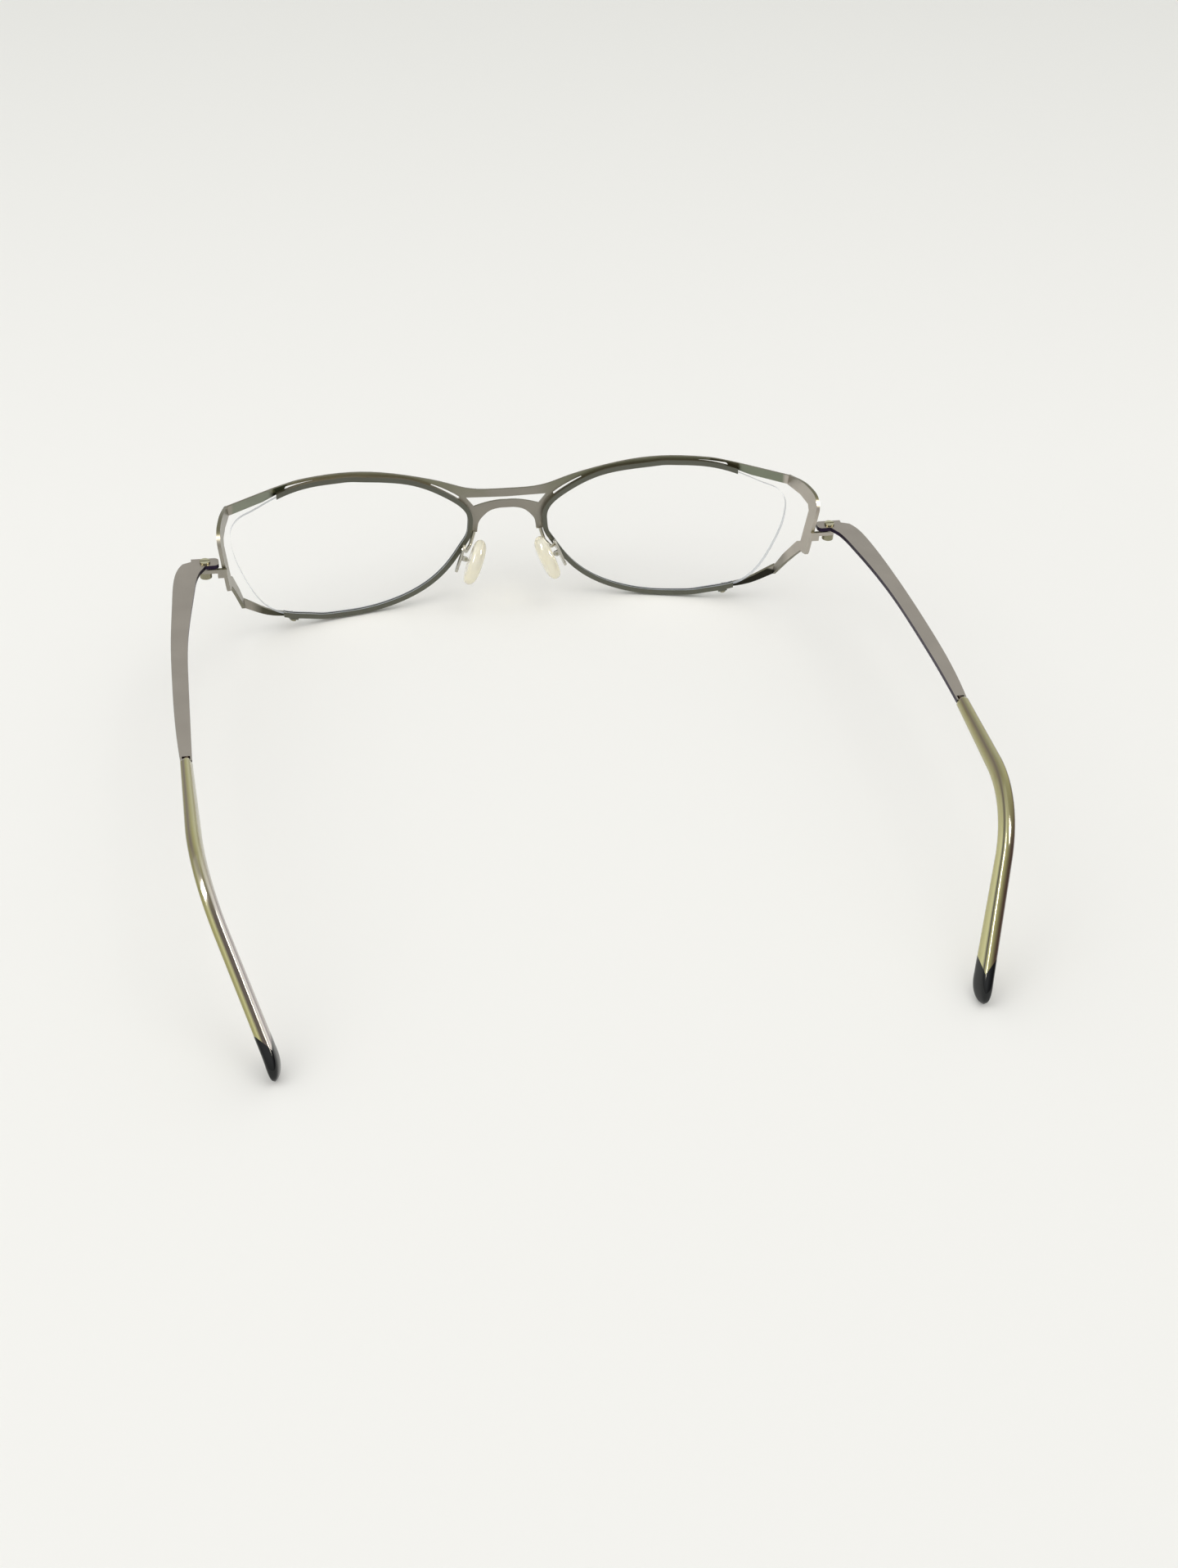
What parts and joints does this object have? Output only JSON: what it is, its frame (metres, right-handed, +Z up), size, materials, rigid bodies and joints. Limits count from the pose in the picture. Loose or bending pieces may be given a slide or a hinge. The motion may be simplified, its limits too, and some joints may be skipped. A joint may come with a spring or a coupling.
{
  "type": "eyeglasses",
  "caption": "Semi-rimless metal spectacle frame with a double bridge, C-shaped side plates, folding temples and rocking nose pads",
  "frame": {"origin": "middle of the footprint, on the surface that the lower rims and the temple tips rest on", "axes": "+X to the wearer's right, +Y out of the front of the frame, +Z up"},
  "size_m": [0.1556, 0.155, 0.0344],
  "materials": {
    "sheet_steel": "satin warm grey plating",
    "eyewire_steel": "satin bronze grey plating",
    "arm_steel": "polished wire",
    "screw_steel": "turned and polished",
    "washer_nylon": "natural nylon",
    "core_wire": "drawn wire",
    "olive_acetate": "polished, translucent",
    "black_acetate": "polished",
    "pad_silicone": "soft clear vinyl",
    "demo_lens": "clear polished plastic sheet"
  },
  "bodies": {
    "front": {"front_sheet": "sheet_steel", "eyewire_right": "eyewire_steel", "eyewire_left": "eyewire_steel", "rim_lock_lug_right": "eyewire_steel", "rim_lock_lug_left": "eyewire_steel", "rim_lock_screw_right": "screw_steel", "rim_lock_screw_left": "screw_steel", "lens_right": "demo_lens", "lens_left": "demo_lens", "pad_box_right": "screw_steel", "pad_box_left": "screw_steel", "pad_screw_right": "screw_steel", "pad_screw_left": "screw_steel", "pad_arm_right": "arm_steel", "pad_arm_left": "arm_steel", "hinge_bracket_right": "sheet_steel", "hinge_bracket_left": "sheet_steel", "hinge_washer_right": "washer_nylon", "hinge_washer_left": "washer_nylon", "hinge_nut_right": "screw_steel", "hinge_nut_left": "screw_steel", "hinge_screw_right": "screw_steel", "hinge_screw_left": "screw_steel"},
    "temple_right": {"temple_plate_right": "sheet_steel", "temple_core_right": "core_wire", "temple_tip_right": "olive_acetate", "tip_end_cap_right": "black_acetate"},
    "pad_right": {"nose_pad_right": "pad_silicone"},
    "temple_left": {"temple_plate_left": "sheet_steel", "temple_core_left": "core_wire", "temple_tip_left": "olive_acetate", "tip_end_cap_left": "black_acetate"},
    "pad_left": {"nose_pad_left": "pad_silicone"}
  },
  "joints": [
    {"name": "temple_right_hinge", "type": "hinge", "parent": "front", "child": "temple_right", "pos_m": [0.0696, 0.04958, 0.0265], "axis": [0, 0, 1], "range_deg": [-90, 0]},
    {"name": "temple_left_hinge", "type": "hinge", "parent": "front", "child": "temple_left", "pos_m": [-0.0696, 0.04958, 0.0265], "axis": [0, 0, 1], "range_deg": [0, 84]},
    {"name": "pad_right_rock", "type": "hinge", "parent": "front", "child": "pad_right", "pos_m": [0.01065, 0.06779, 0.01296], "axis": [-0.0018, -0.8778, 0.479], "range_deg": [-8, 8]},
    {"name": "pad_left_rock", "type": "hinge", "parent": "front", "child": "pad_left", "pos_m": [-0.01065, 0.06779, 0.01296], "axis": [0.0018, -0.8778, 0.479], "range_deg": [-8, 8]}
  ]
}
